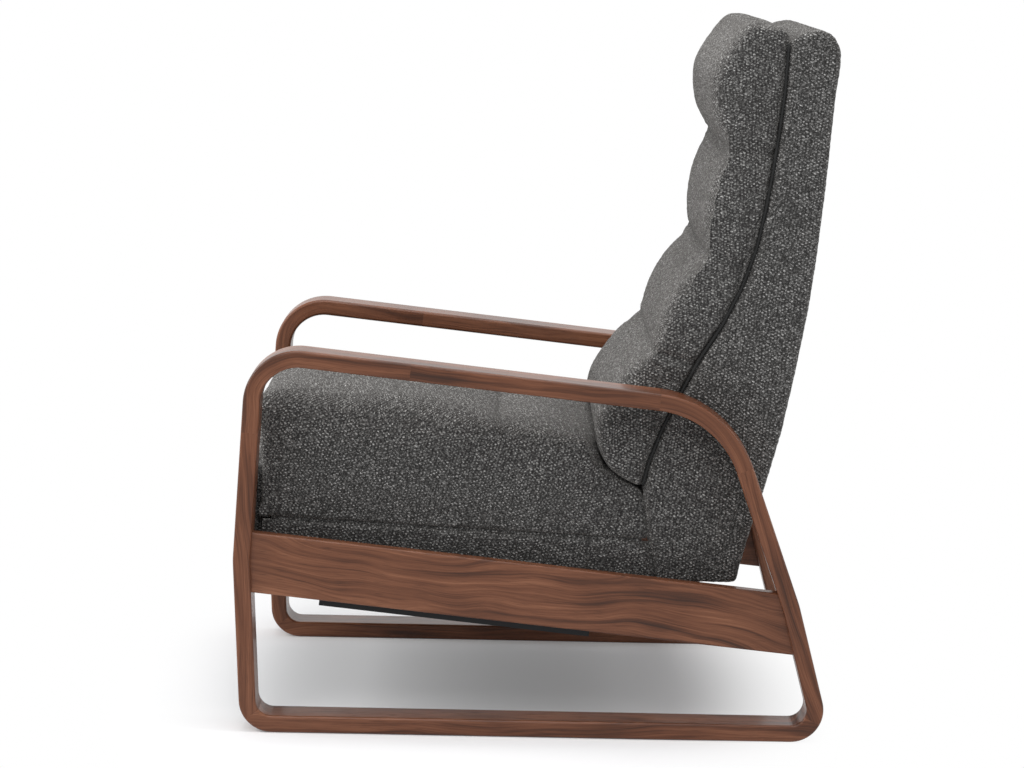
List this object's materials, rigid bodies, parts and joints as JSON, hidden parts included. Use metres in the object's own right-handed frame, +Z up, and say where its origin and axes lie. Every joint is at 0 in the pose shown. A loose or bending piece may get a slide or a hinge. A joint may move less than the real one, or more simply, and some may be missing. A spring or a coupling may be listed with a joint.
{
  "type": "recliner",
  "caption": "Upholstered recliner with bent wooden side loops that serve as legs and arms, a rolled back cushion that tilts and a legrest that unfolds from under the seat.",
  "frame": {"origin": "on the floor, in the middle of the chair's outline seen from above", "axes": "+X is the sitter's left, -Y is the way the chair faces, +Z is up"},
  "size_m": [0.695, 0.8687, 1.054],
  "materials": {
    "frame_wood": "satin walnut",
    "inner_wood": "raw plywood and softwood",
    "black_steel": "black",
    "bright_steel": "zinc plated",
    "spring_wire": "bare wire",
    "upholstery": "charcoal and grey basket weave",
    "webbing": "woven elastic band"
  },
  "bodies": {
    "base": {"left_runner": "frame_wood", "right_runner": "frame_wood", "left_front_leg": "frame_wood", "right_front_leg": "frame_wood", "left_front_bend": "frame_wood", "right_front_bend": "frame_wood", "left_arm": "frame_wood", "right_arm": "frame_wood", "left_rear_bend": "frame_wood", "right_rear_bend": "frame_wood", "left_rear_leg": "frame_wood", "right_rear_leg": "frame_wood", "left_rail": "frame_wood", "right_rail": "frame_wood", "left_channel": "black_steel", "right_channel": "black_steel", "rear_stretcher": "frame_wood", "channel_screws": "bright_steel", "cross_tubes": "black_steel", "base_swing_pins": "bright_steel"},
    "front_swing": {"left_front_swing": "black_steel", "right_front_swing": "black_steel"},
    "rear_swing": {"left_rear_swing": "black_steel", "right_rear_swing": "black_steel"},
    "seat": {"left_seat_plate": "black_steel", "right_seat_plate": "black_steel", "left_seat_board": "inner_wood", "right_seat_board": "inner_wood", "seat_swing_pins": "bright_steel", "seat_studs": "bright_steel", "front_seat_board": "inner_wood", "rear_seat_board": "inner_wood", "seat_springs": "spring_wire", "seat_border": "upholstery", "seat_cushion": "upholstery"},
    "back": {"left_back_panel": "inner_wood", "right_back_panel": "inner_wood", "back_top_rail": "inner_wood", "back_middle_rail": "inner_wood", "back_bottom_rail": "inner_wood", "back_webbing": "webbing", "back_pivot_bolts": "bright_steel", "back_shell": "upholstery", "back_cushion": "upholstery"},
    "lift_arm": {"left_lift_arm": "black_steel", "right_lift_arm": "black_steel", "lift_arm_rivets": "bright_steel"},
    "reach_arm": {"left_reach_arm": "black_steel", "right_reach_arm": "black_steel"},
    "guide_arm": {"left_guide_arm": "black_steel", "right_guide_arm": "black_steel", "guide_arm_rivets": "bright_steel"},
    "hold_arm": {"left_hold_arm": "black_steel", "right_hold_arm": "black_steel"},
    "legrest": {"left_legrest_bracket": "black_steel", "right_legrest_bracket": "black_steel", "legrest_pins": "bright_steel", "legrest_board": "inner_wood", "legrest_pad": "upholstery"}
  },
  "joints": [
    {"name": "back_recline", "type": "hinge", "parent": "seat", "child": "back", "pos_m": [0, 0.216, 0.24], "axis": [-1, 0, 0], "range_deg": [0, 28]},
    {"name": "front_swing_turn", "type": "hinge", "parent": "base", "child": "front_swing", "pos_m": [0, -0.2646, 0.19726], "axis": [-1, 0, 0], "range_deg": [-45, 0]},
    {"name": "rear_swing_turn", "type": "hinge", "parent": "base", "child": "rear_swing", "pos_m": [0, 0.03596, 0.16778], "axis": [-1, 0, 0], "range_deg": [-45, 0]},
    {"name": "seat_level", "type": "hinge", "parent": "front_swing", "child": "seat", "pos_m": [0, -0.2477, 0.23351], "axis": [-1, 0, 0], "range_deg": [0, 45]},
    {"name": "legrest_unfold", "type": "hinge", "parent": "seat", "child": "lift_arm", "pos_m": [0, -0.3345, 0.2684], "axis": [-1, 0, 0], "range_deg": [0, 146.4]},
    {"name": "reach_arm_turn", "type": "hinge", "parent": "lift_arm", "child": "reach_arm", "pos_m": [0, -0.1492, 0.1932], "axis": [-1, 0, 0], "range_deg": [-102.96, 0]},
    {"name": "legrest_turn", "type": "hinge", "parent": "reach_arm", "child": "legrest", "pos_m": [0, -0.3818, 0.2365], "axis": [-1, 0, 0], "range_deg": [0, 34.38]},
    {"name": "guide_arm_turn", "type": "hinge", "parent": "seat", "child": "guide_arm", "pos_m": [0, -0.366, 0.282], "axis": [-1, 0, 0], "range_deg": [0, 147.82]},
    {"name": "hold_arm_turn", "type": "hinge", "parent": "guide_arm", "child": "hold_arm", "pos_m": [0, -0.166, 0.2276], "axis": [-1, 0, 0], "range_deg": [-88.41, 0]}
  ],
  "couplings": [
    {"joint": "front_swing_turn", "follows": "legrest_unfold", "ratio": -0.30738},
    {"joint": "rear_swing_turn", "follows": "legrest_unfold", "ratio": -0.30738},
    {"joint": "seat_level", "follows": "legrest_unfold", "ratio": 0.30738},
    {"joint": "reach_arm_turn", "follows": "legrest_unfold", "ratio": -0.70325},
    {"joint": "legrest_turn", "follows": "legrest_unfold", "ratio": 0.23484},
    {"joint": "guide_arm_turn", "follows": "legrest_unfold", "ratio": 1.0097},
    {"joint": "hold_arm_turn", "follows": "legrest_unfold", "ratio": -0.60391}
  ]
}
